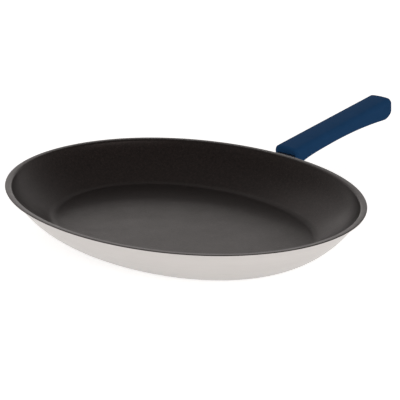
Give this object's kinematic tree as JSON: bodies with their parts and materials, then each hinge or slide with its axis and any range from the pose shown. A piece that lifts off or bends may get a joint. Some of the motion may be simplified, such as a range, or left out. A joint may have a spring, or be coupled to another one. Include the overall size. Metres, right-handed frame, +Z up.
{
  "type": "frying pan",
  "caption": "Oval non-stick frying pan with a flared lip, a riveted handle on its long side and a soft grip sleeve that pulls off.",
  "frame": {"origin": "centre of the flat base, on the surface that the pan stands on", "axes": "+Z up, +X along the oval's long axis, +Y out along the handle"},
  "size_m": [0.36, 0.4794, 0.0648],
  "materials": {
    "pan_aluminium": "bare aluminium, satin",
    "nonstick": "charcoal non-stick coating, semi-matt",
    "handle_steel": "plated pressed steel, satin",
    "rivet_aluminium": "bare aluminium",
    "grip_silicone": "navy blue silicone, matt"
  },
  "bodies": {
    "pan": {"pan_shell": "pan_aluminium", "nonstick_coating": "nonstick", "handle": "handle_steel", "rivet_left": "rivet_aluminium", "rivet_right": "rivet_aluminium", "rivet_lower": "rivet_aluminium"},
    "sleeve": {"grip_sleeve": "grip_silicone"}
  },
  "joints": [
    {"name": "sleeve_slide", "type": "slide", "parent": "pan", "child": "sleeve", "axis": [0, 0.9945, 0.1045], "range_m": [0, 0.17]}
  ]
}
